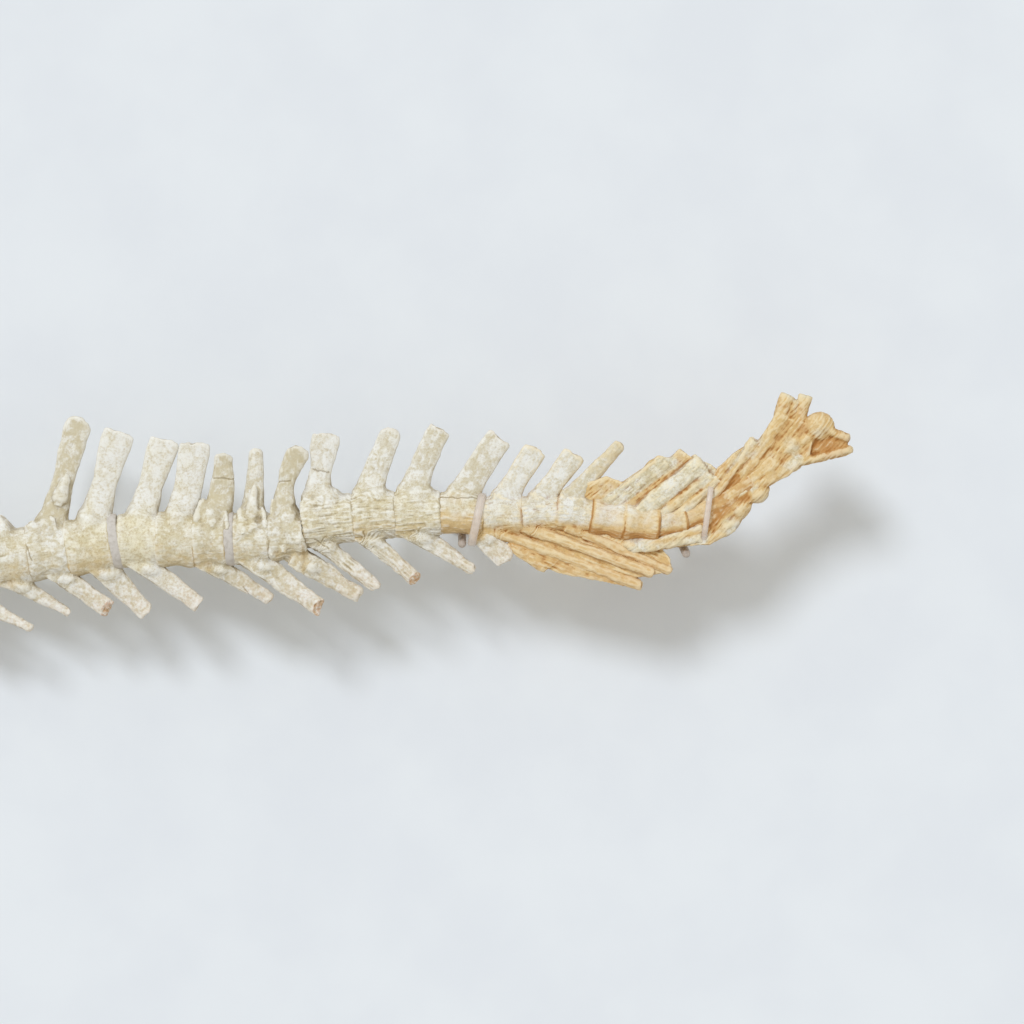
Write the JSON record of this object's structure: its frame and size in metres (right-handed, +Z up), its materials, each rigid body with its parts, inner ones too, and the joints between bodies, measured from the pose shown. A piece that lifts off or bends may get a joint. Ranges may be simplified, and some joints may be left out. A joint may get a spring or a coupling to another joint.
{
  "type": "fossil mosasaur tail skeleton",
  "caption": "End of a fossil mosasaur's tail: vertebrae with leaning neural spines and chevrons, closing in a pressed bundle of bones, lying on its side on short mount posts.",
  "frame": {"origin": "on the floor, under the middle of the whole", "axes": "+X along the tail to its tip, +Y to the tail's dorsal side, +Z up from the floor"},
  "size_m": [0.7594, 0.1942, 0.1256],
  "materials": {
    "bone": "matte fossil bone",
    "amber_bone": "matte amber fossil bone",
    "joint_pad": "matte filler",
    "post_paint": "satin grey",
    "strap": "translucent strap"
  },
  "bodies": {
    "root": {"tail_length_1": "bone", "tail_length_2": "bone", "tail_length_3": "bone", "tail_length_4": "bone", "tail_length_5": "amber_bone", "tail_tip": "amber_bone", "joint_pad_1": "joint_pad", "joint_pad_2": "joint_pad", "stand_post_1": "post_paint", "stand_post_2": "post_paint", "stand_post_3": "post_paint", "strap_1": "strap", "strap_2": "strap"}
  },
  "joints": []
}
